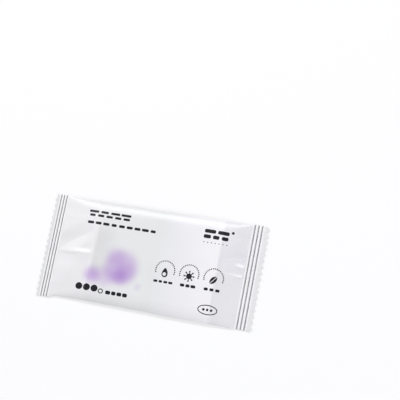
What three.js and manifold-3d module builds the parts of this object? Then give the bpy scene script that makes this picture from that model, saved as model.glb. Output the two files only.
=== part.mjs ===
// A single wet wipe sachet, lying on its back.
// One sheet of film is wrapped into a tube round a folded wipe, closed by a fin seal along the back
// and by a ridged, zigzag-cut seal at each end. X runs along the sachet, Y across it and Z up.
// The origin is under the middle of the sachet, on the surface that it lies on.
import * as THREE from 'three';
import * as BufferGeometryUtils from 'three/addons/utils/BufferGeometryUtils.js';
import Module from 'manifold-3d';

// Driving dimensions, in millimetres
const sachetLength = 135; // from tooth tip to tooth tip
const filmWidth = 64; // the tube pressed flat, as the end seals show it
const sachetThickness = 4.4; // at the crown, over the folded wipe
const wipeLength = 77; // the folded wipe, felt through the film
const wipeShift = 1.9; // the wipe lies this far right of the middle
const wipeStep = 0.35; // the film drops this much over the wipe's short edges
const wipeStepRun = 2.5; // and takes this length to do it
const crownHeight = 0.5; // the middle of the top stands this much above its long edges
const sealLevel = 0.95; // height of the end seals' mid-plane
const sealThickness = 0.36; // two films welded and crimped
const toothCount = 17; // teeth in each cut end
const toothDepth = 1.4;
const toothRoot = 0.2; // whole film between the teeth's roots and the first station
const grooveCount = 3; // crimp grooves in each end seal
const grooveDepth = 0.4;
const leftGrooveStart = 3.4; // from the tooth tips to the first groove
const leftGroovePitch = 1.75;
const rightGrooveStart = 4.5;
const rightGroovePitch = 2.25;
const finWidth = 10; // the fin seal, folded flat against the back
const finThickness = 0.3;
const finGrip = 0.12; // how far the fin's solid reaches into the film above it

// Where the film is pinched or sunk on top: lines in the XY plane, each with a rise and a half width.
// Their inner ends are given from the seal's edge and from the middle of the width.
const creases = [
  { end: 'left', from: [0.4, 0.2], to: [21.5, 0.6], rise: 0.42, halfWidth: 2.4 },
  { end: 'left', from: [0.8, 2.6], to: [16, 15], rise: -0.32, halfWidth: 4.2 },
  { end: 'left', from: [0.6, -3.4], to: [15, -9], rise: -0.16, halfWidth: 3.6 },
  { end: 'right', from: [0.3, 0.2], to: [9, 0], rise: 0.34, halfWidth: 2.2 },
  { end: 'right', from: [0.6, 5.5], to: [12, 9], rise: 0.26, halfWidth: 3 },
  { end: 'right', from: [0.8, 13], to: [11, 24], rise: -0.24, halfWidth: 3.6 },
];

// Mesh fineness
const pointsPerTooth = 2;
const finerRows = 3; // rows next to each long edge that are halved, for the rounded sides
const crimpSteps = 4; // stations for each groove pitch
const slopeSteps = 9; // stations from an end seal to the wipe
const wipeSteps = 9; // stations along the wipe
const stepStations = 2; // stations on the drop at each end of the wipe

// Values that follow from the dimensions
const halfLength = sachetLength / 2;
const halfFilm = filmWidth / 2;
const wipeLeft = wipeShift - wipeLength / 2;
const wipeRight = wipeShift + wipeLength / 2;
const leftCrimp = -halfLength + leftGrooveStart - leftGroovePitch / 2;
const rightCrimp = halfLength - rightGrooveStart + rightGroovePitch / 2;
const leftSealEdge = leftCrimp + grooveCount * leftGroovePitch;
const rightSealEdge = rightCrimp - grooveCount * rightGroovePitch;

const lerp = THREE.MathUtils.lerp;
const clamp = THREE.MathUtils.clamp;

// The side of the tube. Soft film leaves the fold upright and straightens evenly along its length,
// which is an Euler spiral: this table gives its run across and its rise for each length of film.
const flankTable = [{ film: 0, across: 0, rise: 0 }];
const flankSteps = 40;
for (let i = 1; i <= flankSteps; i += 1) {
  const last = flankTable[i - 1];
  const left = 1 - (i - 0.5) / flankSteps;
  const angle = (Math.PI / 2) * left * left;
  flankTable.push({
    film: i / flankSteps,
    across: last.across + Math.cos(angle) / flankSteps,
    rise: last.rise + Math.sin(angle) / flankSteps,
  });
}
const flankEnd = flankTable[flankSteps];

function flankAt(share) {
  const place = clamp(share, 0, 1) * flankSteps;
  const i = Math.min(Math.floor(place), flankSteps - 1);
  const t = place - i;
  return {
    across: lerp(flankTable[i].across, flankTable[i + 1].across, t),
    rise: lerp(flankTable[i].rise, flankTable[i + 1].rise, t),
  };
}

// 0 at an end seal's edge, 1 over the wipe: a taut slope that eases off as it nears the wipe.
function bodyShare(x) {
  const run = x < wipeShift ? (x - leftSealEdge) / (wipeLeft - leftSealEdge)
    : (rightSealEdge - x) / (rightSealEdge - wipeRight);
  const t = clamp(run, 0, 1);
  return lerp(t, Math.sin((Math.PI / 2) * t), 0.55);
}

// 1 over the wipe, 0 a step's run beyond its short edges.
function wipeShare(x) {
  const beyond = Math.max(wipeLeft - x, x - wipeRight);
  const t = clamp(1 - beyond / wipeStepRun, 0, 1);
  return t * t * (3 - 2 * t);
}

// The crimp: a wave across the seal's grooves, flat beyond them.
function crimpAt(x) {
  const waves = x < 0 ? (x - leftCrimp) / leftGroovePitch : (rightCrimp - x) / rightGroovePitch;
  if (waves < 0 || waves > grooveCount) return 0;
  return -grooveDepth * 0.5 * (1 - Math.cos(2 * Math.PI * waves));
}

// Heights of the film along the sachet, without the creases.
function levelsAt(x) {
  const share = bodyShare(x);
  const crimp = crimpAt(x);
  const over = sachetThickness - crownHeight - wipeStep;
  const top = lerp(sealLevel + sealThickness / 2, over, share) + wipeStep * wipeShare(x) + crimp;
  const underShare = Math.min(1, share * 1.6);
  const bottom = lerp(sealLevel - sealThickness / 2, finThickness, underShare) + crimp;
  return { top, bottom, fold: (top + bottom) / 2, share };
}

// Height that one crease gives to a point of the top.
function creaseAt(crease, x, y) {
  const outward = crease.end === 'left' ? 1 : -1;
  const edge = crease.end === 'left' ? leftSealEdge : rightSealEdge;
  const start = new THREE.Vector2(edge + outward * crease.from[0], crease.from[1]);
  const stop = new THREE.Vector2(edge + outward * crease.to[0], crease.to[1]);
  const line = stop.clone().sub(start);
  const reach = line.length();
  line.normalize();
  const point = new THREE.Vector2(x, y).sub(start);
  const along = clamp(point.dot(line), 0, reach);
  const off = point.sub(line.clone().multiplyScalar(along)).length() / crease.halfWidth;
  if (off >= 1) return 0;
  const fade = Math.sqrt(1 - along / reach);
  return crease.rise * fade * (1 - off * off) * (1 - off * off);
}

// A point of the film: x along the sachet, across as measured on the flat film, side +1 top, -1 back.
function filmPoint(x, across, side) {
  const { top, bottom, fold, share } = levelsAt(x);
  const half = (top - bottom) / 2;
  const flankFilm = half / flankEnd.rise;
  const fromFold = halfFilm - Math.abs(across);
  const flank = flankAt(fromFold / flankFilm);
  const edgeY = halfFilm - flankFilm + flankFilm * flankEnd.across;
  const y = edgeY - flankFilm * flank.across - Math.max(0, fromFold - flankFilm);
  const signedY = across < 0 ? -y : y;
  let z = fold + side * flankFilm * flank.rise;
  if (side > 0) {
    const crown = Math.cos((Math.PI / 2) * (across / halfFilm));
    const onTop = clamp((fromFold - flankFilm) / flankFilm, 0, 1);
    z += crownHeight * share * crown * crown;
    for (const crease of creases) z += onTop * creaseAt(crease, x, signedY);
  }
  return new THREE.Vector3(x, signedY, z);
}

// 0 at a corner of the sachet and between two teeth, 1 at a tooth's tip.
function toothAt(across) {
  const pitches = ((across + halfFilm) / filmWidth) * toothCount;
  const t = pitches - Math.floor(pitches);
  return 1 - Math.abs(2 * t - 1);
}

// Rows across the flat film, from one fold to the other, with a row on each tooth's tip and root.
function rowPlaces() {
  const rows = [];
  const halves = toothCount * pointsPerTooth;
  for (let i = 0; i <= halves; i += 1) {
    rows.push(-halfFilm + (filmWidth * i) / halves);
    const nearSide = i < finerRows || i >= halves - finerRows;
    if (nearSide && i < halves) rows.push(-halfFilm + (filmWidth * (i + 0.5)) / halves);
  }
  return rows;
}

function evenly(from, to, steps) {
  return Array.from({ length: steps }, (unused, i) => lerp(from, to, i / steps));
}

// Stations along the sachet between the two cut ends.
function stationPlaces() {
  const crimpStations = grooveCount * crimpSteps;
  return [
    -halfLength + toothDepth + toothRoot,
    ...evenly(leftCrimp, leftSealEdge, crimpStations),
    ...evenly(leftSealEdge, wipeLeft - wipeStepRun, slopeSteps),
    ...evenly(wipeLeft - wipeStepRun, wipeLeft, stepStations),
    ...evenly(wipeLeft, wipeRight, wipeSteps),
    ...evenly(wipeRight, wipeRight + wipeStepRun, stepStations),
    ...evenly(wipeRight + wipeStepRun, rightSealEdge, slopeSteps),
    ...evenly(rightSealEdge, rightCrimp, crimpStations),
    rightCrimp,
    halfLength - toothDepth - toothRoot,
  ];
}

// The pouch: a ring of film at each station, joined to the next, and closed along the teeth.
function pouchGeometry() {
  const rows = rowPlaces();
  const stations = stationPlaces();
  const points = [];
  const faces = [];
  const lastRow = rows.length - 1;
  const ringSize = 2 * lastRow;

  function addRing(xAt) {
    for (let i = 0; i <= lastRow; i += 1) points.push(filmPoint(xAt(rows[i]), rows[i], 1));
    for (let i = lastRow - 1; i > 0; i -= 1) points.push(filmPoint(xAt(rows[i]), rows[i], -1));
  }

  addRing((across) => -halfLength + toothDepth * toothAt(across));
  for (const x of stations) addRing(() => x);
  addRing((across) => halfLength - toothDepth * (1 - toothAt(across)));

  const ringCount = stations.length + 2;
  for (let ring = 0; ring < ringCount - 1; ring += 1) {
    for (let i = 0; i < ringSize; i += 1) {
      const a = ring * ringSize + i;
      const b = ring * ringSize + ((i + 1) % ringSize);
      faces.push(a, a + ringSize, b, b, a + ringSize, b + ringSize);
    }
  }
  const lastRing = (ringCount - 1) * ringSize;
  for (let i = 0; i < lastRow; i += 1) {
    const under = (ringSize - i) % ringSize;
    const nextUnder = ringSize - i - 1;
    if (nextUnder !== i + 1) {
      faces.push(i, i + 1, nextUnder, lastRing + i, lastRing + nextUnder, lastRing + i + 1);
    }
    if (under !== i) {
      faces.push(i, nextUnder, under, lastRing + i, lastRing + under, lastRing + nextUnder);
    }
  }

  const geometry = new THREE.BufferGeometry();
  geometry.setAttribute('position', new THREE.Float32BufferAttribute(points.flatMap((p) => p.toArray()), 3));
  geometry.setIndex(faces);
  return geometry;
}

// The fin seal: a flat strip along the middle of the back that follows the film, from cut to cut.
function finGeometry() {
  const places = stationPlaces();
  const profile = new THREE.Shape();
  const under = places.map((x) => new THREE.Vector2(x, levelsAt(x).bottom - finThickness));
  const above = places.map((x) => new THREE.Vector2(x, levelsAt(x).bottom + finGrip)).reverse();
  profile.setFromPoints([...under, ...above]);
  const geometry = new THREE.ExtrudeGeometry(profile, { depth: finWidth, bevelEnabled: false });
  geometry.rotateX(Math.PI / 2);
  geometry.translate(0, finWidth / 2, 0);
  return geometry;
}

// A closed mesh as a solid for joining.
function solidOf(library, geometry) {
  geometry.deleteAttribute('normal');
  geometry.deleteAttribute('uv');
  const merged = BufferGeometryUtils.mergeVertices(geometry, 1e-5);
  return new library.Manifold(new library.Mesh({
    numProp: 3,
    vertProperties: new Float32Array(merged.attributes.position.array),
    triVerts: new Uint32Array(merged.index.array),
  }));
}

const library = await Module();
library.setup();
const joined = solidOf(library, pouchGeometry()).add(solidOf(library, finGeometry())).getMesh();
const sachetGeometry = new THREE.BufferGeometry();
sachetGeometry.setAttribute('position', new THREE.Float32BufferAttribute(joined.vertProperties, 3));
sachetGeometry.setIndex(new THREE.Uint32BufferAttribute(joined.triVerts, 1));
sachetGeometry.computeVertexNormals();

const printedFilm = new THREE.MeshStandardMaterial({ color: 0xf1f0f5, roughness: 0.38, metalness: 0 });
const sachet = new THREE.Mesh(sachetGeometry, printedFilm);
sachet.name = 'film_sachet';

const part = new THREE.Group();
part.add(sachet);

export default part;
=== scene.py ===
import math

import bpy
import numpy as np
from mathutils import Euler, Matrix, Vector


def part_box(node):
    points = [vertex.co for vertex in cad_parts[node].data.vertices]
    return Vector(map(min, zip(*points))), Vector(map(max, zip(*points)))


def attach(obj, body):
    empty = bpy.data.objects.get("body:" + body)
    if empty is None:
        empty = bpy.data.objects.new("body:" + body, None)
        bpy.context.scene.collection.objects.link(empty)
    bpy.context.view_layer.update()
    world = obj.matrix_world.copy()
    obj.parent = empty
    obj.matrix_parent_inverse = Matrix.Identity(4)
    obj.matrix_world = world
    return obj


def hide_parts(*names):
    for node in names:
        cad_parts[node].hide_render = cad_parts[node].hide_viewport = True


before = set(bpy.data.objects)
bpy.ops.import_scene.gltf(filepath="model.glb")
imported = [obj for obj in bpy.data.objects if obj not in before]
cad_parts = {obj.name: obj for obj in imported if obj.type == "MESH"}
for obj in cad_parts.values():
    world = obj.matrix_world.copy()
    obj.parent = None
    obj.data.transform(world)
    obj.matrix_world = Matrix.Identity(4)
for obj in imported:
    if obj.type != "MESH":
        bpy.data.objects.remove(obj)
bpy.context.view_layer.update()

# A wet wipe sachet on its back, seen from above. Sizes are in millimetres and turned to metres at the end.
mm = 0.001
scene = bpy.context.scene

# Camera: the photograph's angle to the printed face, with its picture taken as 400 x 400
print("camera")
shot = {
    "place": (182.49, -116.8, 801.72),
    "turn": (12.934, 9.049, 10.917),  # degrees about X, Y and Z
    "lens": 123.03,
    "sensor": 36.0,
    "clip": (0.02, 30.0),
}
cameraData = bpy.data.cameras.new("camera")
cameraData.lens = shot["lens"]
cameraData.sensor_width = shot["sensor"]
cameraData.clip_start, cameraData.clip_end = shot["clip"]
camera = bpy.data.objects.new("camera", cameraData)
camera.location = Vector(shot["place"]) * mm
camera.rotation_euler = Euler([math.radians(a) for a in shot["turn"]], "XYZ")
scene.collection.objects.link(camera)
scene.camera = camera


def linearColor(hexText):
    # sRGB hex to the linear values that shaders take
    parts = [int(hexText[i:i + 2], 16) / 255 for i in (1, 3, 5)]
    return tuple(p / 12.92 if p <= 0.04045 else ((p + 0.055) / 1.055) ** 2.4 for p in parts) + (1.0,)


def addNode(tree, kind, sockets=None, **settings):
    # sockets: input name or number to a value, or to the output that feeds it
    node = tree.nodes.new(kind)
    for name, value in settings.items():
        setattr(node, name, value)
    for name, value in (sockets or {}).items():
        if isinstance(value, bpy.types.NodeSocket):
            tree.links.new(value, node.inputs[name])
        else:
            node.inputs[name].default_value = value
    return node


# The film: one sheet wrapped round the folded wipe, so every section across it is the same 128 mm round
film = {
    "node": "film_sachet",
    "flatWidth": 64.0,       # of the tube pressed flat
    "wipeLength": 77.0,
    "wipeShift": 1.9,        # the wipe's middle, right of the sachet's
    "wipeStep": 0.35,        # drop of the film over the wipe's short edges
    "wipeStepRun": 2.5,
    "domeShare": 0.55,       # how round the face's rise from the seals to the wipe is: 0 is straight
    "backHaste": 1.6,        # the back comes down to its own level this much sooner than the face rises
    "crown": 0.7,            # fall of the face from its middle to its long edges
    "crownPower": 3.0,
    # how the film rises from its long edges: steepest angle, how soon it levels, share of the angle
    # right at the edge, where the layers lie close, and how far that reaches
    "flanks": {"upper": (31.0, 1.9, 0.6, 0.08), "lower": (24.0, 1.5, 1.0, 0.1)},
    "edgeLift": 0.3,         # the upper long edge lies this share of the half height above the middle
    # dip of the face inward of the wipe's short edges, and where the left one gives way to the right
    "sag": {"left": 0.45, "right": 0.30, "inset": 1, "reach": 7.0, "halfChange": 12},
    # the filled tube is narrower than its flat ends: the lower edge's share changes along the sachet, and
    # haste is how soon the narrowing is full, going in from the seals
    "pullIn": {"upper": 0.5, "lower": 1.25, "lowerRight": -0.2, "from": -45, "run": 85, "haste": 4},
    "headroom": 0.04,
    "topRounding": 0.15,     # how softly the highest places are kept under the pack's thickness
    "deepest": 0.75,         # share of the room inside that a fold may sink into
    "sealLevel": 0.95,
    "sealThickness": 0.3,
    "teeth": 17,
    "toothDepth": 1.4,
    "toothRoot": 0.2,        # whole film between the teeth's roots and the first mesh station
    "grooves": 3,
    "grooveDepth": 0.48,
    "grooveSharpness": 3.0,  # above 1 the grooves are narrower than the ridges
    "leftGrooveStart": 3.4,
    "leftGroovePitch": 1.75,
    "rightGrooveStart": 4.5,
    "rightGroovePitch": 2.25,
    "grooveSlant": {"left": 0.05, "right": 0.16},
    "grooveSlantLength": 8.6,
    "grooveSlantSkew": 0.6,  # the ridges lean over quicker than they come back
    "finWidth": 10.0,
    "finThickness": 0.3,
    "finStep": 0.03,         # half width of the step at each side of the fin seal
    "finRows": 0.04,         # and the mesh rows' distance from its middle
    "rowsPerTooth": 8,       # mesh rows across each tooth
    "stationGap": 0.5,       # mesh step along the pouch
    "stationsPerGroove": 12,
    "stripStations": (4, 6),  # mesh lines on the left and right strips, outside the grooves
    "sharpAngle": 55,
    "bakeMargin": 0.01,      # bare rim of the square map
    "edgeWaves": [(41.0, 0.05, 0.7), (23.0, 0.04, 2.1), (14.5, 0.03, 4.4)],  # length, height, phase
    "edgeWavesFrom": 60,
    "edgeWavesPower": 5,     # how soon they die out inward of the long edges
    "stripWaves": [(29.0, 0.10, 0.4), (17.0, 0.05, 2.6)],  # of the cut strips, likewise
    "stripWavesRun": 3.0,
    "stripWavesShift": 11,   # so that the right strip differs from the left one
    # soft waves of the face: length along and across, height, phase
    "faceWaves": [(33.0, 51.0, 0.05, 0.6), (-27.0, 38.0, 0.04, 2.9), (19.0, -64.0, 0.03, 4.1)],
    # the face's relief begins this share of the flank's width in from the edge, and takes this much more
    "reliefFrom": 0.5,
    "reliefRun": 1.5,
    "sealFade": 1.2,         # what folds and pleats take to leave the seals
    # beads of film over the wipe's short edges: end, lowest and highest place across, rise, half width
    "beads": [(-1, -14.0, 16.0, 0.14, 1.1), (1, -29.0, 20.0, 0.10, 1.2)],
    "beadFade": 4,
}
# Where the face is pinched or sunk: from, to, rise, half width on the line's left and right, sharpness
film["folds"] = [
    ((-37.5, -1.6), (-64.0, -2.3), 0.60, 7.0, 3.4, 1.2),    # the left ridge, from the wipe to the seal
    ((-59.6, -4.2), (-45.0, -4.0), -0.50, 2.4, 12.0, 1.5),  # the furrow below it
    ((-59.6, 0.0), (-38.5, 12.6), -1.10, 7.0, 6.6, 1.3),    # the sunk wedge above it
    ((-58.5, 10.0), (-42.0, 20.0), 0.50, 12.0, 7.0, 1.5),   # and the swell above that
    ((57.4, -1.6), (44.5, -1.0), 0.80, 1.6, 3.2, 1.2),      # two pinches at the right seal
    ((57.4, 3.8), (51.0, 5.2), 0.80, 1.9, 3.6, 1.3),
    ((56.8, 20.0), (45.5, 29.0), -0.60, 5.0, 5.0, 1.6),     # the dip toward the upper right corner
    ((57.4, 9.0), (41.0, 6.5), -0.80, 6.0, 2.4, 1.3),       # the hollow between it and the pinches
]
# Soft swellings: place, rise and half widths along and across
film["swellings"] = [(-50.0, -15.0, 0.40, 8.0, 8.0), (52.0, -7.0, -0.70, 8.0, 13.0)]
# Small pleats that leave the seals: side, place across, reach, rise and half width
film["pleatPower"] = 1.4     # above 1 they keep their height longer and end sooner
film["pleats"] = [
    ("left", -22.5, 7.0, 0.09, 1.5), ("left", -17.0, 5.0, -0.07, 1.6), ("left", -11.5, 8.0, 0.06, 1.4),
    ("left", 9.5, 6.0, 0.05, 1.4), ("left", 19.5, 8.0, 0.10, 1.6), ("left", 24.5, 5.5, -0.09, 1.5),
    ("right", -23.0, 6.0, 0.08, 1.5), ("right", -15.5, 8.0, -0.06, 1.8), ("right", -8.5, 5.0, 0.09, 1.2),
    ("right", 13.0, 6.5, 0.08, 1.3), ("right", 18.5, 5.0, -0.06, 1.5), ("right", 25.0, 6.5, 0.10, 1.6),
]

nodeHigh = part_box(film["node"])[1]
halfLength = nodeHigh.x / mm
thickness = nodeHigh.z / mm
halfFilm = film["flatWidth"] / 2
wipeLeft = film["wipeShift"] - film["wipeLength"] / 2
wipeRight = film["wipeShift"] + film["wipeLength"] / 2
leftCrimp = -halfLength + film["leftGrooveStart"] - film["leftGroovePitch"] / 2
rightCrimp = halfLength - film["rightGrooveStart"] + film["rightGroovePitch"] / 2
leftSealEdge = leftCrimp + film["grooves"] * film["leftGroovePitch"]
rightSealEdge = rightCrimp - film["grooves"] * film["rightGroovePitch"]


def smooth(t):
    t = np.clip(t, 0.0, 1.0)
    return t * t * (3 - 2 * t)


# The sides of the tube, as across and rise for each share of a unit of film from the edge inward
spiralSteps = 200
spiralFilm = np.arange(spiralSteps + 1) / spiralSteps
spiralShare = (np.arange(spiralSteps) + 0.5) / spiralSteps
flankCurves = {}
for name, (angle, power, lip, lipReach) in film["flanks"].items():
    turn = math.radians(angle) * (1 - spiralShare) ** power
    turn = turn * (lip + (1 - lip) * smooth(spiralShare / lipReach))
    flankCurves[name] = [np.concatenate([[0], np.cumsum(part)]) / spiralSteps
                         for part in (np.cos(turn), np.sin(turn))]


def bodyShare(x):
    # 0 at an end seal's edge, 1 over the wipe
    fromLeft = (x - leftSealEdge) / (wipeLeft - leftSealEdge)
    fromRight = (rightSealEdge - x) / (rightSealEdge - wipeRight)
    t = np.clip(np.where(x < film["wipeShift"], fromLeft, fromRight), 0, 1)
    return t + film["domeShare"] * (np.sin(math.pi / 2 * t) - t)


def crimp(x, y):
    # the jaws' grooves, with ridges that lean a little to and fro along them
    turn = 2 * math.pi * y / film["grooveSlantLength"]
    lean = np.sin(turn + film["grooveSlantSkew"] * np.sin(turn))
    x = x + lean * np.where(x < 0, film["grooveSlant"]["left"], film["grooveSlant"]["right"])
    waves = np.where(x < 0, (x - leftCrimp) / film["leftGroovePitch"],
                     (rightCrimp - x) / film["rightGroovePitch"])
    inside = (waves > 0) & (waves < film["grooves"])
    dip = (0.5 - 0.5 * np.cos(2 * math.pi * waves)) ** film["grooveSharpness"]
    return np.where(inside, -film["grooveDepth"] * dip, 0.0)


def waveSum(waves, along):
    return sum(height * np.sin(2 * math.pi * along / length + phase) for length, height, phase in waves)


def foldRise(fold, x, y):
    (x0, y0), (x1, y1), rise, leftWidth, rightWidth, sharp = fold
    reach = math.hypot(x1 - x0, y1 - y0)
    dx, dy = (x1 - x0) / reach, (y1 - y0) / reach
    along = np.clip((x - x0) * dx + (y - y0) * dy, 0, reach)
    width = np.where(dx * (y - y0) > dy * (x - x0), leftWidth, rightWidth)
    off = np.hypot(x - x0 - along * dx, y - y0 - along * dy) / width
    fade = np.sqrt(1 - along / reach)
    return rise * fade * np.clip(1 - off ** sharp, 0, 1) ** 2


def pleatRise(x, y):
    total = np.zeros_like(x)
    for side, place, reach, rise, width in film["pleats"]:
        inward = x - leftSealEdge if side == "left" else rightSealEdge - x
        fade = np.where(inward >= 0, np.exp(-(np.maximum(inward, 0) / reach) ** film["pleatPower"]), 0)
        total += rise * fade * smooth(inward / film["sealFade"]) * np.exp(-((y - place) / width) ** 2)
    return total


def faceRelief(x, y, share):
    # everything small on the face: the wipe's edges, the sag between them, folds, pleats and soft waves
    sag = film["sag"]
    fromLeft = np.maximum(0, x - wipeLeft - sag["inset"])
    fromRight = np.maximum(0, wipeRight - sag["inset"] - x)
    leftDip = -sag["left"] * (1 - np.exp(-fromLeft / sag["reach"]))
    rightDip = -sag["right"] * (1 - np.exp(-fromRight / sag["reach"]))
    change = sag["halfChange"]
    leftDip = leftDip * smooth((film["wipeShift"] + change - x) / (2 * change))
    relief = (leftDip + rightDip * smooth((x - film["wipeShift"] + change) / (2 * change))) * share
    for end, low, high, rise, width in film["beads"]:
        edge = wipeRight if end > 0 else wipeLeft
        window = smooth((y - low) / film["beadFade"]) * smooth((high - y) / film["beadFade"])
        relief = relief + rise * window * np.exp(-((x - edge + end * width) / width) ** 2)
    for alongLength, acrossLength, height, phase in film["faceWaves"]:
        turn = 2 * math.pi * (x / alongLength + y / acrossLength) + phase
        relief = relief + height * share * np.sin(turn)
    for place, height, rise, alongWidth, acrossWidth in film["swellings"]:
        off = ((x - place) / alongWidth) ** 2 + ((y - height) / acrossWidth) ** 2
        relief = relief + rise * np.exp(-off)
    ends = smooth((x - leftSealEdge) / film["sealFade"]) * smooth((rightSealEdge - x) / film["sealFade"])
    return relief + ends * sum(foldRise(fold, x, y) for fold in film["folds"]) + pleatRise(x, y)


def filmPoints(x, across, side):
    # x along the sachet, across from the middle on the flat film, side +1 for the top and -1 for the back
    share = bodyShare(x)
    beyondWipe = np.maximum(wipeLeft - x, x - wipeRight)
    over = thickness - film["crown"] - film["wipeStep"] - film["headroom"]
    sealHalf = film["sealThickness"] / 2
    grooves = crimp(x, across)
    top = (film["sealLevel"] + sealHalf) * (1 - share) + over * share
    top = top + film["wipeStep"] * smooth(1 - beyondWipe / film["wipeStepRun"]) + grooves
    underShare = np.minimum(1, share * film["backHaste"])
    back = (film["sealLevel"] - sealHalf) * (1 - underShare) + film["finThickness"] * underShare + grooves
    fold, half = (top + back) / 2, (top - back) / 2
    fromFold = halfFilm - np.abs(across)
    lowerSide = across < 0
    curves = list(zip(flankCurves["lower"], flankCurves["upper"]))
    endAcross, endRise = (np.where(lowerSide, low[-1], high[-1]) for low, high in curves)
    flankFilm = half / endRise
    flankShare = fromFold / flankFilm
    edge = halfFilm - flankFilm + flankFilm * endAcross
    flankAcross, flankRise = (
        np.where(lowerSide, np.interp(flankShare, spiralFilm, low), np.interp(flankShare, spiralFilm, high))
        for low, high in curves)
    y = edge - flankFilm * flankAcross
    wave = waveSum(film["edgeWaves"], x * np.sign(across + 1e-9) + film["edgeWavesFrom"]) * share
    pull = film["pullIn"]
    lower = pull["lower"] + (pull["lowerRight"] - pull["lower"]) * smooth((x - pull["from"]) / pull["run"])
    wave = wave - np.where(lowerSide, lower, pull["upper"]) * smooth(share * pull["haste"])
    wave = wave * (np.abs(across) / halfFilm) ** film["edgeWavesPower"]
    y = y - np.maximum(0, fromFold - flankFilm) + wave
    y = y * np.where(lowerSide, -1, 1)
    lift = np.where(lowerSide, 0, film["edgeLift"]) * half
    z = fold + lift + side * (half - side * lift) * flankRise / endRise
    inner = smooth((fromFold - film["reliefFrom"] * flankFilm) / (film["reliefRun"] * flankFilm))
    outward = np.maximum(leftCrimp - x, x - rightCrimp)
    stripWave = waveSum(film["stripWaves"], y + np.where(x < 0, 0, film["stripWavesShift"]))
    z = z + smooth(outward / film["stripWavesRun"]) * stripWave
    if side > 0:
        z = z + film["crown"] * share * (1 - (np.abs(across) / halfFilm) ** film["crownPower"])
        rise = faceRelief(x, y, share)
        limit = film["deepest"] * (top - back)
        rise = np.where(rise < 0, -limit * np.tanh(-rise / limit), rise)
        z = z + inner * rise
        # nothing stands above the pack's thickness: what comes near it is rounded off
        z = (z + thickness - np.hypot(z - thickness, film["topRounding"])) / 2
    else:
        onFin = (film["finWidth"] / 2 + film["finStep"] - np.abs(across)) / (2 * film["finStep"])
        z = z - film["finThickness"] * smooth(onFin)
    return np.stack([x, y, z], -1)


def toothShare(across):
    t = (across + halfFilm) / film["flatWidth"] * film["teeth"]
    return 1 - np.abs(2 * (t - np.floor(t)) - 1)


def buildFilm():
    rows = np.linspace(-halfFilm, halfFilm, film["teeth"] * film["rowsPerTooth"] + 1)
    backRows = rows.copy()
    for edge in (-film["finWidth"] / 2, film["finWidth"] / 2):
        # two rows of the back close up to make the step at each side of the fin seal
        low, high = sorted(np.argsort(np.abs(rows - edge))[:2])
        backRows[low], backRows[high] = edge - film["finRows"], edge + film["finRows"]
    root = film["toothDepth"] + film["toothRoot"]
    groovesEach = film["grooves"] * film["stationsPerGroove"]
    leftStations, rightStations = film["stripStations"]
    stations = [np.linspace(-halfLength + root, leftCrimp, leftStations)[:-1],
                np.linspace(leftCrimp, leftSealEdge, groovesEach + 1)[:-1],
                np.arange(leftSealEdge, rightSealEdge - film["stationGap"] / 2, film["stationGap"]),
                np.linspace(rightSealEdge, rightCrimp, groovesEach + 1)[:-1],
                np.linspace(rightCrimp, halfLength - root, rightStations)]
    toothRows = toothShare(rows)
    columns = [-halfLength + film["toothDepth"] * toothRows]
    columns += [np.full_like(rows, x) for x in np.concatenate(stations)]
    columns += [halfLength - film["toothDepth"] * (1 - toothRows)]
    rings, ringMaps = [], []
    for number, column in enumerate(columns):
        atCut = number in (0, len(columns) - 1)
        under = rows if atCut else backRows
        top = filmPoints(column, rows, 1)
        back = filmPoints(column, under, -1)
        rings.append(np.concatenate([top, back[-2:0:-1]]))
        around = np.where(under < 0, -film["flatWidth"] - under, film["flatWidth"] - under)
        ringMaps.append(np.concatenate([rows, around[-2:0:-1]]))
    return rows, columns, rings, ringMaps


print("film")
rows, columns, rings, ringMaps = buildFilm()
lastRow = len(rows) - 1
ringSize = 2 * lastRow
points = np.concatenate(rings) * mm
faces = []
for ring in range(len(columns) - 1):
    base, following = ring * ringSize, (ring + 1) * ringSize
    for i in range(ringSize):
        j = (i + 1) % ringSize
        faces.append((base + i, following + i, following + j, base + j))
for first, flip in ((0, False), ((len(columns) - 1) * ringSize, True)):
    for i in range(lastRow):
        under, nextUnder = (ringSize - i) % ringSize, ringSize - i - 1
        # the first and last teeth end in a corner that top and back share
        corners = list(dict.fromkeys([first + i, first + i + 1, first + nextUnder, first + under]))
        faces.append(tuple(reversed(corners)) if flip else tuple(corners))

filmMesh = bpy.data.meshes.new("printed_film")
filmMesh.from_pydata([tuple(p) for p in points], [], faces)
filmMesh.validate()

# Two maps of the flat film: one in metres for the print, one that fills a square for the baked finish
aroundAll = np.concatenate(ringMaps)
printMap = filmMesh.uv_layers.new(name="flatFilm")
bakeMap = filmMesh.uv_layers.new(name="OFBake")
loopVerts = np.zeros(len(filmMesh.loops), np.int32)
filmMesh.loops.foreach_get("vertex_index", loopVerts)
flatX = points[loopVerts, 0] / mm
flatY = aroundAll[loopVerts]
# at the back's middle the two film edges meet, so a face there takes the side that it lies on
loopFace = np.zeros(len(filmMesh.loops), np.int32)
for polygon in filmMesh.polygons:
    loopFace[polygon.loop_start:polygon.loop_start + polygon.loop_total] = polygon.index
faceSum = np.zeros(len(filmMesh.polygons))
np.add.at(faceSum, loopFace, points[loopVerts, 1])
isBack = np.abs(flatY) > halfFilm + 1e-6
flatY = np.where(isBack, np.abs(flatY) * np.where(faceSum[loopFace] < 0, -1, 1), flatY)
flat = np.stack([flatX * mm, flatY * mm], -1)
printMap.data.foreach_set("uv", flat.astype(np.float32).ravel())
square = np.stack([flatX / (2 * halfLength), flatY / (2 * film["flatWidth"])], -1) + 0.5
square = film["bakeMargin"] + (1 - 2 * film["bakeMargin"]) * square
bakeMap.data.foreach_set("uv", square.astype(np.float32).ravel())
filmMesh.shade_smooth()
filmMesh.set_sharp_from_angle(angle=math.radians(film["sharpAngle"]))

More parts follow.
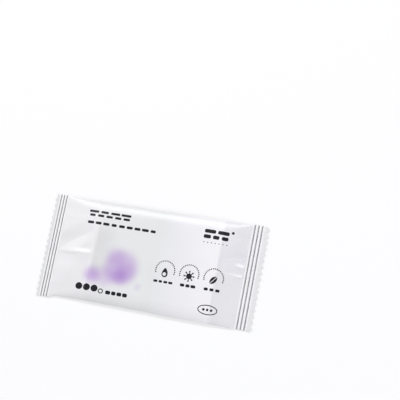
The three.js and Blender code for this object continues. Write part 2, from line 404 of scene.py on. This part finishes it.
filmPiece = bpy.data.objects.new("printed_film", filmMesh)
scene.collection.objects.link(filmPiece)
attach(filmPiece, "root")
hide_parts(film["node"])
print("film triangles", sum(len(p.vertices) - 2 for p in filmMesh.polygons))

# The print, in millimetres on the flat film from the middle of the face: x along the sachet, y across it
sheetPrint = {
    "edge": 0.08,            # softness of a printed edge
    "ink": "#1e1c22",
    # lines of dashes: start, end, middle, height, corner, dashes, shortest and longest share of the room
    # that each has, and a first number, which gives each line dashes of other lengths
    "dashes": [
        (-44.2, -17.0, 24.6, 1.5, 0.6, 4, 0.70, 0.94, 3),
        (-44.2, -17.0, 22.2, 1.5, 0.6, 5, 0.66, 0.90, 20),
        (-44.1, 0.4, 17.5, 1.7, 0.75, 9, 0.62, 0.92, 30),
        (28.6, 45.0, 23.4, 2.3, 0.9, 2, 0.84, 0.9, 40),
        (28.6, 45.0, 20.0, 2.3, 0.9, 3, 0.7, 0.86, 50),
        (28.7, 45.1, 16.4, 0.6, 0.28, 7, 0.28, 0.28, 60),
        (-24.1, -10.0, -23.9, 2.4, 0.9, 4, 0.76, 0.92, 70),
        (3.6, 16.0, -11.7, 1.45, 0.6, 4, 0.66, 0.88, 90),
        (20.1, 30.1, -11.7, 1.8, 0.7, 3, 0.76, 0.92, 100),
        (34.6, 45.2, -11.7, 1.7, 0.7, 3, 0.70, 0.9, 110),
        (36.1, 43.1, -23.9, 1.5, 0.6, 3, 0.6, 0.8, 120),
    ],
    # discs: x, y, radius
    "discs": [(46.4, 24.5, 0.85), (-41.0, -22.6, 2.2), (-36.1, -22.6, 2.2), (-31.2, -22.6, 2.2)],
    # rings: x, y, half axes, line width
    "rings": [(-27.0, -23.7, 1.3, 1.3, 0.6), (39.6, -23.9, 5.75, 2.7, 0.55)],
}
# Three dotted arcs, each over its own small picture
arcs = {
    "first": 9.9, "pitch": 14.985, "count": 3, "height": -4.75,
    "radius": 5.85, "dots": 19, "dotRadius": 0.40, "span": 208.0,
    "pictureDrop": 1.1,      # the pictures' middle, below the arcs'
    "pictureScale": 1.15,
    "pictureReach": 3.6,     # before scaling, as all of the pictures' sizes are
}
# The pictures: a drop with a hollow, a round grain with knobs on stalks, and a leaf with a bare vein
pictures = {
    "drop": {
        "bowl": 1.6, "bowlDown": 1.0, "tipAside": 3.0, "tipRadius": 4.6,
        "hollow": (-0.15, 0.05, 0.95),  # x, y, radius
    },
    "grain": {"body": 1.5, "stalks": 8, "stalkHalf": 0.22, "knobAt": 2.55, "knob": 0.42},
    "leaf": {"aside": 1.7, "radius": 3.2, "lean": 38, "veinHalf": 0.16},
}
# Soft lilac spots: x, y, radius of the full tone, radius where it ends, strength
spots = [
    (-17.2, -7.4, 6.5, 13.8, 0.42),
    (-15.4, -9.6, 1.0, 10.0, 0.40),
    (-17.4, -13.2, 0.5, 7.4, 0.36),
    (-22.0, -1.4, 1.5, 9.0, 0.26),
    (-26.4, -14.4, 1.5, 9.6, 0.34),
    (-34.4, -14.2, 0.5, 8.0, 0.60),
    (-5.0, -17.4, 0.4, 3.6, 0.16),
    (51.5, 9.0, 2.0, 13.0, 0.03),
]

# Laminated film: clear polyester over white polyethylene, printed on the inside of the clear layer.
# It gives the eye an even, slightly cool white with a soft satin shine that brightens along folds.
laminate = {
    # white along the sachet, by mm from the middle: greyer over the wipe's left half, a painted sheen from
    # 18 to 40, then painted shade with a faint lilac tint past the wipe's right end
    "tonesAndPaintedLight": [
        (-65.2, "#e9e9ea"), (-64.2, "#f2f2f3"), (-60.0, "#f1f0f2"), (-38.0, "#f2f1f3"),
        (-35.0, "#efeff0"), (2.0, "#eceeee"), (18.0, "#f4f3f7"), (30.0, "#f8f7fb"),
        (40.0, "#fbf9fd"), (41.6, "#eeedf2"), (64.2, "#eeedf0"), (65.2, "#eeeef0"),
    ],
    # painted shade just over the wipe's left end, where the film steps down off the wipe's edge: where that
    # begins, is full, fades and ends
    "wipeEdgeShade": {
        "tone": "#c9c9cd",
        "share": 0.24,
        "along": (-36.8, -34.6, -33.0, -19.0),
        "across": (-15, -8, 11, 19),
    },
    "back": "#f0f0f2",
    "backFrom": 0.02,        # past the fold of the long edges
    "lilac": "#c285e6",
    # the jaws melt the layers together; the grooves are painted dark for the shade they hold and the ridges
    # white for their highlight; spread is how far that goes past the outer grooves, as a share of their
    # pitch
    "ridges": {"tone": "#ffffff", "share": 1.0, "sharpness": 0.8, "phase": math.pi, "spread": 0.2},
    "grooves": {"tone": "#5c5b64", "share": 0.84, "sharpness": 3.8, "phase": 0.0, "spread": 0.0},
    # faint cloudiness of the damp wipe behind the film
    "mottle": {"tone": "#5c5b64", "size": 16.0, "detail": 0.5, "share": 0.05},
    "ior": 1.5,
    "roughness": 0.26,
    "grooveRoughness": 0.16,  # what the grooves are rougher by
    # slack film beside the seals has long crinkles along the sachet: where they begin and are full is in
    # millimetres past the wipe
    "crinkles": {"wide": 2.6, "long": 9.0, "detail": 1.5, "depth": 0.05, "begin": 2.0, "full": 12.0},
    # the jaws' own finish is finer than the render shows, so it is drawn larger
    "grain": {"size": 0.9, "detail": 2.0, "depth": 0.003},
    # pressed lines of the fin seal, from its edge inward
    "finCrimp": {"pitch": 1.5, "depth": 0.16, "begin": 0.2, "full": 0.6},
}
print("print")
laminatedFilm = bpy.data.materials.new("laminatedFilm")
laminatedFilm.use_nodes = True
tree = laminatedFilm.node_tree
tree.nodes.clear()
flatMap = addNode(tree, "ShaderNodeUVMap", uv_map="flatFilm")
place = addNode(tree, "ShaderNodeVectorMath", {0: flatMap.outputs[0], "Scale": 1 / mm}, operation="SCALE")
place = place.outputs[0]
axes = addNode(tree, "ShaderNodeSeparateXYZ", {0: place})
along, across = axes.outputs[0], axes.outputs[1]
soft = sheetPrint["edge"]
inkInside = {"To Min": 1.0, "To Max": 0.0}


def dashLine(line):
    # one line of print: dashes with rounded corners, each of its own length
    start, end, middle, height, corner, count, shortest, longest, first = line
    cell = (end - start) / count
    step = addNode(tree, "ShaderNodeMath", {0: along, 1: 1 / cell, 2: first - start / cell},
                   operation="MULTIPLY_ADD")
    number = addNode(tree, "ShaderNodeMath", {0: step.outputs[0]}, operation="FLOOR")
    chance = addNode(tree, "ShaderNodeTexWhiteNoise", {"W": number.outputs[0]}, noise_dimensions="1D")
    reach = addNode(tree, "ShaderNodeMath", {
        0: chance.outputs["Value"], 1: (longest - shortest) * cell / 2, 2: shortest * cell / 2 - corner,
    }, operation="MULTIPLY_ADD")
    fromEnd = addNode(tree, "ShaderNodeMath", {0: step.outputs[0], 1: 0.5}, operation="PINGPONG")
    fromMiddle = addNode(tree, "ShaderNodeMath", {0: fromEnd.outputs[0], 1: -cell, 2: cell / 2},
                         operation="MULTIPLY_ADD")
    rise = addNode(tree, "ShaderNodeMath", {0: across, 1: middle}, operation="SUBTRACT")
    aside = addNode(tree, "ShaderNodeMath", {0: rise.outputs[0]}, operation="ABSOLUTE")
    offset = addNode(tree, "ShaderNodeCombineXYZ", {0: fromMiddle.outputs[0], 1: aside.outputs[0]})
    core = addNode(tree, "ShaderNodeCombineXYZ", {0: reach.outputs[0], 1: height / 2 - corner})
    beyond = addNode(tree, "ShaderNodeVectorMath", {0: offset.outputs[0], 1: core.outputs[0]},
                     operation="SUBTRACT")
    outside = addNode(tree, "ShaderNodeVectorMath", {0: beyond.outputs[0], 1: (0, 0, 0)},
                      operation="MAXIMUM")
    distance = addNode(tree, "ShaderNodeVectorMath", {0: outside.outputs[0]}, operation="LENGTH")
    dash = addNode(tree, "ShaderNodeMapRange", {
        "Value": distance.outputs["Value"],
        "From Min": corner - soft,
        "From Max": corner + soft,
        **inkInside,
    })
    onLine = addNode(tree, "ShaderNodeMath", {0: along, 1: (start + end) / 2, 2: (end - start) / 2},
                     operation="COMPARE")
    return addNode(tree, "ShaderNodeMath", {0: dash.outputs[0], 1: onLine.outputs[0]},
                   operation="MULTIPLY")


def ovalLine(oval):
    # the outline of an ellipse, from its distance k1 (k1 - 1) / k2
    x, y, halfX, halfY, width = oval
    offset = addNode(tree, "ShaderNodeVectorMath", {0: place, 1: (x, y, 0)}, operation="SUBTRACT")
    lengths = []
    for power in (1, 2):
        scaled = addNode(tree, "ShaderNodeVectorMath", {
            0: offset.outputs[0], 1: (halfX ** -power, halfY ** -power, 0)}, operation="MULTIPLY")
        length = addNode(tree, "ShaderNodeVectorMath", {0: scaled.outputs[0]}, operation="LENGTH")
        lengths.append(length.outputs["Value"])
    less = addNode(tree, "ShaderNodeMath", {0: lengths[0], 1: 1.0}, operation="SUBTRACT")
    top = addNode(tree, "ShaderNodeMath", {0: less.outputs[0], 1: lengths[0]}, operation="MULTIPLY")
    ratio = addNode(tree, "ShaderNodeMath", {0: top.outputs[0], 1: lengths[1]}, operation="DIVIDE")
    distance = addNode(tree, "ShaderNodeMath", {0: ratio.outputs[0]}, operation="ABSOLUTE")
    return addNode(tree, "ShaderNodeMapRange", {
        "Value": distance.outputs[0],
        "From Min": width / 2 - soft,
        "From Max": width / 2 + soft,
        **inkInside,
    })


def roundMark(point, x, y, radius):
    distance = addNode(tree, "ShaderNodeVectorMath", {0: point, 1: (x, y, 0)}, operation="DISTANCE")
    return addNode(tree, "ShaderNodeMapRange", {
        "Value": distance.outputs["Value"],
        "From Min": radius - soft,
        "From Max": radius + soft,
        **inkInside,
    })


def leafShape(point, aside, radius):
    # where two discs overlap
    pair = [roundMark(point, sign * aside, 0, radius).outputs[0] for sign in (-1, 1)]
    return addNode(tree, "ShaderNodeMath", {0: pair[0], 1: pair[1]}, operation="MINIMUM")


def turned(point, degreesEach, most):
    # turns the plane in equal steps so that every repeat lies on the first, straight up
    step = math.radians(degreesEach)
    parts = addNode(tree, "ShaderNodeSeparateXYZ", {0: point})
    turn = addNode(tree, "ShaderNodeMath", {0: parts.outputs[0], 1: parts.outputs[1]}, operation="ARCTAN2")
    steps = addNode(tree, "ShaderNodeMath", {0: turn.outputs[0], 1: step}, operation="DIVIDE")
    whole = addNode(tree, "ShaderNodeMath", {0: steps.outputs[0]}, operation="ROUND")
    kept = addNode(tree, "ShaderNodeClamp", {"Value": whole.outputs[0], "Min": -most, "Max": most})
    angle = addNode(tree, "ShaderNodeMath", {0: kept.outputs[0], 1: step}, operation="MULTIPLY")
    return addNode(tree, "ShaderNodeVectorRotate", {"Vector": point, "Angle": angle.outputs[0]},
                   rotation_type="Z_AXIS").outputs[0]


def dropShape(point):
    # a disc with a tip, which is the upper half of a leaf shape
    drop = pictures["drop"]
    bowl = addNode(tree, "ShaderNodeVectorMath", {0: point, 1: (0, drop["bowlDown"], 0)}, operation="ADD")
    bowl = bowl.outputs[0]
    height = addNode(tree, "ShaderNodeSeparateXYZ", {0: bowl})
    upper = addNode(tree, "ShaderNodeMath", {0: height.outputs[1], 1: 0.0}, operation="GREATER_THAN")
    leaf = leafShape(bowl, drop["tipAside"], drop["tipRadius"])
    tip = addNode(tree, "ShaderNodeMath", {0: leaf.outputs[0], 1: upper.outputs[0]}, operation="MULTIPLY")
    disc = roundMark(bowl, 0, 0, drop["bowl"])
    whole = addNode(tree, "ShaderNodeMath", {0: disc.outputs[0], 1: tip.outputs[0]},
                    operation="MAXIMUM")
    hollow = roundMark(bowl, *drop["hollow"])
    return addNode(tree, "ShaderNodeMath", {0: whole.outputs[0], 1: hollow.outputs[0]},
                   operation="SUBTRACT")


def grainShape(point):
    grain = pictures["grain"]
    stalk = turned(point, 360 / grain["stalks"], grain["stalks"] // 2)
    parts = addNode(tree, "ShaderNodeSeparateXYZ", {0: stalk})
    thin = addNode(tree, "ShaderNodeMath", {0: parts.outputs[0], 1: 0.0, 2: grain["stalkHalf"]},
                   operation="COMPARE")
    short = addNode(tree, "ShaderNodeMath", {0: parts.outputs[1], 1: grain["knobAt"]},
                    operation="LESS_THAN")
    whole = addNode(tree, "ShaderNodeMath", {0: thin.outputs[0], 1: short.outputs[0]},
                    operation="MULTIPLY")
    knob = roundMark(stalk, 0, grain["knobAt"], grain["knob"])
    body = roundMark(point, 0, 0, grain["body"])
    for part in (knob, body):
        whole = addNode(tree, "ShaderNodeMath", {0: whole.outputs[0], 1: part.outputs[0]},
                        operation="MAXIMUM")
    return whole


def veinedLeaf(point):
    leaf = pictures["leaf"]
    leaning = addNode(tree, "ShaderNodeVectorRotate", {
        "Vector": point, "Angle": math.radians(leaf["lean"])}, rotation_type="Z_AXIS").outputs[0]
    blade = leafShape(leaning, leaf["aside"], leaf["radius"])
    parts = addNode(tree, "ShaderNodeSeparateXYZ", {0: leaning})
    vein = addNode(tree, "ShaderNodeMath", {0: parts.outputs[0], 1: 0.0, 2: leaf["veinHalf"]},
                   operation="COMPARE")
    return addNode(tree, "ShaderNodeMath", {0: blade.outputs[0], 1: vein.outputs[0]}, operation="SUBTRACT")


def arcMarks():
    # one set of nodes draws all three arcs, in the local plane of the nearest
    spot = addNode(tree, "ShaderNodeMath", {
        0: along, 1: 1 / arcs["pitch"], 2: -arcs["first"] / arcs["pitch"]}, operation="MULTIPLY_ADD")
    whole = addNode(tree, "ShaderNodeMath", {0: spot.outputs[0]}, operation="ROUND")
    number = addNode(tree, "ShaderNodeClamp", {
        "Value": whole.outputs[0], "Min": 0, "Max": arcs["count"] - 1})
    centre = addNode(tree, "ShaderNodeMath", {
        0: number.outputs[0], 1: arcs["pitch"], 2: arcs["first"]}, operation="MULTIPLY_ADD")
    middle = addNode(tree, "ShaderNodeCombineXYZ", {0: centre.outputs[0], 1: arcs["height"]})
    local = addNode(tree, "ShaderNodeVectorMath", {0: place, 1: middle.outputs[0]},
                    operation="SUBTRACT").outputs[0]
    nearestDot = turned(local, arcs["span"] / (arcs["dots"] - 1), arcs["dots"] // 2)
    marks = [roundMark(nearestDot, 0, arcs["radius"], arcs["dotRadius"])]
    lowered = addNode(tree, "ShaderNodeVectorMath", {0: local, 1: (0, arcs["pictureDrop"], 0)},
                      operation="ADD")
    inner = addNode(tree, "ShaderNodeVectorMath", {
        0: lowered.outputs[0], "Scale": 1 / arcs["pictureScale"]}, operation="SCALE").outputs[0]
    near = addNode(tree, "ShaderNodeVectorMath", {0: inner}, operation="LENGTH")
    close = addNode(tree, "ShaderNodeMath", {0: near.outputs["Value"], 1: arcs["pictureReach"]},
                    operation="LESS_THAN")
    for index, picture in enumerate((dropShape(inner), grainShape(inner), veinedLeaf(inner))):
        chosen = addNode(tree, "ShaderNodeMath", {0: number.outputs[0], 1: index, 2: 0.1},
                         operation="COMPARE")
        both = addNode(tree, "ShaderNodeMath", {0: chosen.outputs[0], 1: close.outputs[0]},
                       operation="MULTIPLY")
        marks.append(addNode(tree, "ShaderNodeMath", {0: picture.outputs[0], 1: both.outputs[0]},
                             operation="MULTIPLY", use_clamp=True))
    return marks


def crimpLines(press):
    # the same waves as the mesh's crimps: phase 0 marks the grooves and pi the ridges
    sides = []
    for start, pitch in ((leftCrimp, film["leftGroovePitch"]), (rightCrimp, -film["rightGroovePitch"])):
        turn = 2 * math.pi / pitch
        waves = addNode(tree, "ShaderNodeMath", {0: along, 1: turn, 2: press["phase"] - turn * start},
                        operation="MULTIPLY_ADD")
        swing = addNode(tree, "ShaderNodeMath", {0: waves.outputs[0]}, operation="COSINE")
        dip = addNode(tree, "ShaderNodeMath", {0: swing.outputs[0], 1: -0.5, 2: 0.5},
                      operation="MULTIPLY_ADD")
        sharp = addNode(tree, "ShaderNodeMath", {0: dip.outputs[0], 1: press["sharpness"]},
                        operation="POWER")
        middle = start + film["grooves"] * pitch / 2
        reach = (film["grooves"] + press["spread"]) * abs(pitch) / 2
        within = addNode(tree, "ShaderNodeMath", {0: along, 1: middle, 2: reach}, operation="COMPARE")
        sides.append(addNode(tree, "ShaderNodeMath", {0: sharp.outputs[0], 1: within.outputs[0]},
                             operation="MULTIPLY"))
    return addNode(tree, "ShaderNodeMath", {0: sides[0].outputs[0], 1: sides[1].outputs[0]},
                   operation="MAXIMUM")


# Colour: white along the sachet with a painted sheen and shade, the lilac spots, the ink, then the crimp's
# painted shade and highlight
alongShare = addNode(tree, "ShaderNodeMapRange", {
    "Value": along, "From Min": -halfLength, "From Max": halfLength})
# a ramp of whites along the sachet: its lighter stretch from 18 to 40 mm is a painted sheen, its darker end
# past the wipe painted shade
tonesAndPaintedLight = addNode(tree, "ShaderNodeValToRGB", {0: alongShare.outputs[0]})
steps = tonesAndPaintedLight.color_ramp.elements
for x, tone in laminate["tonesAndPaintedLight"]:
    step = steps.new(0.5 + x / (2 * halfLength))
    step.color = linearColor(tone)
steps.remove(steps[0])  # the ramp's own black and white
steps.remove(steps[len(steps) - 1])
fromMiddle = addNode(tree, "ShaderNodeMath", {0: across}, operation="ABSOLUTE").outputs[0]
onBack = addNode(tree, "ShaderNodeMath", {0: fromMiddle, 1: halfFilm + laminate["backFrom"]},
                 operation="GREATER_THAN")
colour = addNode(tree, "ShaderNodeMix", {
    "Factor": onBack.outputs[0], "A": tonesAndPaintedLight.outputs[0], "B": linearColor(laminate["back"])},
    data_type="RGBA").outputs["Result"]
for x, y, full, ends, strength in spots:
    distance = addNode(tree, "ShaderNodeVectorMath", {0: place, 1: (x, y, 0)}, operation="DISTANCE")
    tone = addNode(tree, "ShaderNodeMapRange", {
        "Value": distance.outputs["Value"], "From Min": full, "From Max": ends,
        "To Min": strength, "To Max": 0.0}, interpolation_type="SMOOTHSTEP")
    colour = addNode(tree, "ShaderNodeMix", {
        "Factor": tone.outputs[0], "A": colour, "B": linearColor(laminate["lilac"])},
        data_type="RGBA", blend_type="MULTIPLY").outputs["Result"]
marks = [dashLine(line) for line in sheetPrint["dashes"]]
marks += [roundMark(place, *disc) for disc in sheetPrint["discs"]]
marks += [ovalLine(ring) for ring in sheetPrint["rings"]]
marks += arcMarks()
ink = marks[0]
for mark in marks[1:]:
    ink = addNode(tree, "ShaderNodeMath", {0: ink.outputs[0], 1: mark.outputs[0]}, operation="MAXIMUM")
colour = addNode(tree, "ShaderNodeMix", {
    "Factor": ink.outputs[0], "A": colour, "B": linearColor(sheetPrint["ink"])},
    data_type="RGBA").outputs["Result"]
print("laminated film")
# Painted shade in the crimp's grooves and a painted highlight on its ridges
for press in (laminate["ridges"], laminate["grooves"]):
    pressing = crimpLines(press)
    share = addNode(tree, "ShaderNodeMath", {0: pressing.outputs[0], 1: press["share"]},
                    operation="MULTIPLY")
    colour = addNode(tree, "ShaderNodeMix", {
        "Factor": share.outputs[0], "A": colour, "B": linearColor(press["tone"])},
        data_type="RGBA").outputs["Result"]
# Painted shade over the wipe's left end, darkening the film where it steps off the wipe's edge
wipeEdgeShade = laminate["wipeEdgeShade"]
wipeEdgeShadeRamps = []
for axis, (start, full, fading, end) in ((along, wipeEdgeShade["along"]), (across, wipeEdgeShade["across"])):
    grows = addNode(tree, "ShaderNodeMapRange", {"Value": axis, "From Min": start, "From Max": full},
                    interpolation_type="SMOOTHSTEP")
    wipeEdgeShadeRamps.append(addNode(tree, "ShaderNodeMapRange", {
        "Value": axis, "From Min": fading, "From Max": end, "To Min": grows.outputs[0], "To Max": 0.0},
        interpolation_type="SMOOTHSTEP"))
wipeEdgeShadeShare = addNode(tree, "ShaderNodeMath", {0: wipeEdgeShadeRamps[0].outputs[0], 1: wipeEdgeShadeRamps[1].outputs[0]},
                 operation="MULTIPLY")
wipeEdgeShadeShare = addNode(tree, "ShaderNodeMath", {0: wipeEdgeShadeShare.outputs[0], 1: wipeEdgeShade["share"]}, operation="MULTIPLY")
colour = addNode(tree, "ShaderNodeMix", {
    "Factor": wipeEdgeShadeShare.outputs[0], "A": colour, "B": linearColor(wipeEdgeShade["tone"])},
    data_type="RGBA", blend_type="MULTIPLY").outputs["Result"]
mottle = laminate["mottle"]
cloud = addNode(tree, "ShaderNodeTexNoise", {
    "Vector": place, "Scale": 1 / mottle["size"], "Detail": mottle["detail"]})
mottled = addNode(tree, "ShaderNodeMath", {0: cloud.outputs[0], 1: mottle["share"]}, operation="MULTIPLY")
colour = addNode(tree, "ShaderNodeMix", {
    "Factor": mottled.outputs[0], "A": colour, "B": linearColor(mottle["tone"])},
    data_type="RGBA").outputs["Result"]

# Relief too fine for the mesh: the fin seal's pressed lines, crinkles and the jaws' grain
finCrimp, crinkles, grain = laminate["finCrimp"], laminate["crinkles"], laminate["grain"]
finEdge = film["flatWidth"] - film["finWidth"] / 2
onFin = addNode(tree, "ShaderNodeMapRange", {
    "Value": fromMiddle, "From Min": finEdge + finCrimp["begin"], "From Max": finEdge + finCrimp["full"]})
lines = addNode(tree, "ShaderNodeMath", {0: along, 1: 2 * math.pi / finCrimp["pitch"]},
                operation="MULTIPLY")
lines = addNode(tree, "ShaderNodeMath", {0: lines.outputs[0]}, operation="SINE")
lines = addNode(tree, "ShaderNodeMath", {0: lines.outputs[0], 1: onFin.outputs[0]}, operation="MULTIPLY")
drawnOut = addNode(tree, "ShaderNodeVectorMath", {
    0: place, 1: (1 / crinkles["long"], 1 / crinkles["wide"], 1)}, operation="MULTIPLY")
crinkle = addNode(tree, "ShaderNodeTexNoise", {
    "Vector": drawnOut.outputs[0], "Scale": 1.0, "Detail": crinkles["detail"]})
fromWipe = addNode(tree, "ShaderNodeMath", {0: along, 1: film["wipeShift"]}, operation="SUBTRACT")
fromWipe = addNode(tree, "ShaderNodeMath", {0: fromWipe.outputs[0]}, operation="ABSOLUTE")
slack = addNode(tree, "ShaderNodeMapRange", {
    "Value": fromWipe.outputs[0],
    "From Min": film["wipeLength"] / 2 + crinkles["begin"],
    "From Max": film["wipeLength"] / 2 + crinkles["full"],
}, interpolation_type="SMOOTHSTEP")
crinkled = addNode(tree, "ShaderNodeMath", {0: crinkle.outputs[0], 1: slack.outputs[0]},
                   operation="MULTIPLY")
fine = addNode(tree, "ShaderNodeTexNoise", {
    "Vector": place, "Scale": 1 / grain["size"], "Detail": grain["detail"]})
# a sine has twice its height from crest to trough, so its distance is half of the depth
relief = addNode(tree, "ShaderNodeBump", {
    "Height": lines.outputs[0], "Distance": finCrimp["depth"] / 2 * mm, "Strength": 1.0})
for height, depth in ((crinkled, crinkles["depth"]), (fine, grain["depth"])):
    relief = addNode(tree, "ShaderNodeBump", {
        "Height": height.outputs[0], "Distance": depth * mm, "Strength": 1.0, "Normal": relief.outputs[0]})
# The shine is even, but for the grooves, which the jaws have dulled
dulled = addNode(tree, "ShaderNodeMath", {
    0: pressing.outputs[0], 1: laminate["grooveRoughness"], 2: laminate["roughness"]},
    operation="MULTIPLY_ADD")
output = addNode(tree, "ShaderNodeOutputMaterial")
surface = addNode(tree, "ShaderNodeBsdfPrincipled", {
    "Base Color": colour,
    "Roughness": dulled.outputs[0],
    "IOR": laminate["ior"],
    "Normal": relief.outputs[0],
})
tree.links.new(surface.outputs["BSDF"], output.inputs["Surface"])
filmMesh.materials.append(laminatedFilm)

# Floor, lamps and background
print("stage")
studio = {
    "floor": "#a8a8aa",
    "floorSize": 8.0,        # metres, as the lamps' sizes and places are
    "floorGap": 0.02,        # millimetres under the sachet
    "floorLift": 0.60,       # glow that only the camera and reflections see: it whitens the floor
    "around": "#f4f5f8",
    "aroundStrength": 0.15,
}
lamps = [
    {"name": "key", "place": (-0.16, 0.78, 1.03), "size": (1.4, 0.45), "power": 10.6, "color": "#ffffff"},
    {"name": "fill", "place": (0.60, -0.60, 0.98), "size": (1.0, 1.0), "power": 8.3, "color": "#fdfdff"},
    {"name": "side", "place": (-1.02, 0.34, 0.74), "size": (1.1, 0.8), "power": 4.2, "color": "#fdfdff"},
]
floorMesh = bpy.data.meshes.new("floor")
reach = studio["floorSize"] / 2
floorCorners = [(-reach, -reach, 0), (reach, -reach, 0), (reach, reach, 0), (-reach, reach, 0)]
floorMesh.from_pydata(floorCorners, [], [(0, 1, 2, 3)])
floor = bpy.data.objects.new("floor", floorMesh)
floor.location.z = -studio["floorGap"] * mm
scene.collection.objects.link(floor)

# Matt painted board: an even pale ground that takes a soft shadow
paleFloor = bpy.data.materials.new("paleFloor")
paleFloor.use_nodes = True
tree = paleFloor.node_tree
tree.nodes.clear()
output = addNode(tree, "ShaderNodeOutputMaterial")
rays = addNode(tree, "ShaderNodeLightPath")
seen = rays.outputs["Is Camera Ray"]
for kind in ("Is Glossy Ray", "Is Transmission Ray"):
    seen = addNode(tree, "ShaderNodeMath", {0: seen, 1: rays.outputs[kind]},
                   operation="MAXIMUM").outputs[0]
lift = addNode(tree, "ShaderNodeMath", {0: seen, 1: studio["floorLift"]}, operation="MULTIPLY")
paint = addNode(tree, "ShaderNodeBsdfDiffuse", {"Color": linearColor(studio["floor"])})
glow = addNode(tree, "ShaderNodeEmission", {"Strength": lift.outputs[0]})
both = addNode(tree, "ShaderNodeAddShader", {0: paint.outputs[0], 1: glow.outputs[0]})
tree.links.new(both.outputs[0], output.inputs["Surface"])
floorMesh.materials.append(paleFloor)

for lamp in lamps:
    lampData = bpy.data.lights.new(lamp["name"], "AREA")
    lampData.shape = "RECTANGLE"
    lampData.size, lampData.size_y = lamp["size"]
    lampData.energy = lamp["power"]
    lampData.color = linearColor(lamp["color"])[:3]
    lampObject = bpy.data.objects.new(lamp["name"], lampData)
    lampObject.location = lamp["place"]
    lampObject.rotation_euler = Vector(lamp["place"]).to_track_quat("Z", "Y").to_euler()
    scene.collection.objects.link(lampObject)

world = bpy.data.worlds.new("studio")
scene.world = world
world.use_nodes = True
tree = world.node_tree
tree.nodes.clear()
output = addNode(tree, "ShaderNodeOutputWorld")
rays = addNode(tree, "ShaderNodeLightPath")
plain = addNode(tree, "ShaderNodeBackground", {
    "Color": linearColor(studio["around"]), "Strength": studio["aroundStrength"]})
white = addNode(tree, "ShaderNodeBackground", {"Color": (1, 1, 1, 1), "Strength": 1.0})
mix = addNode(tree, "ShaderNodeMixShader", {
    0: rays.outputs["Is Camera Ray"], 1: plain.outputs[0], 2: white.outputs[0]})
tree.links.new(mix.outputs[0], output.inputs["Surface"])

scene.view_settings.view_transform = "Standard"
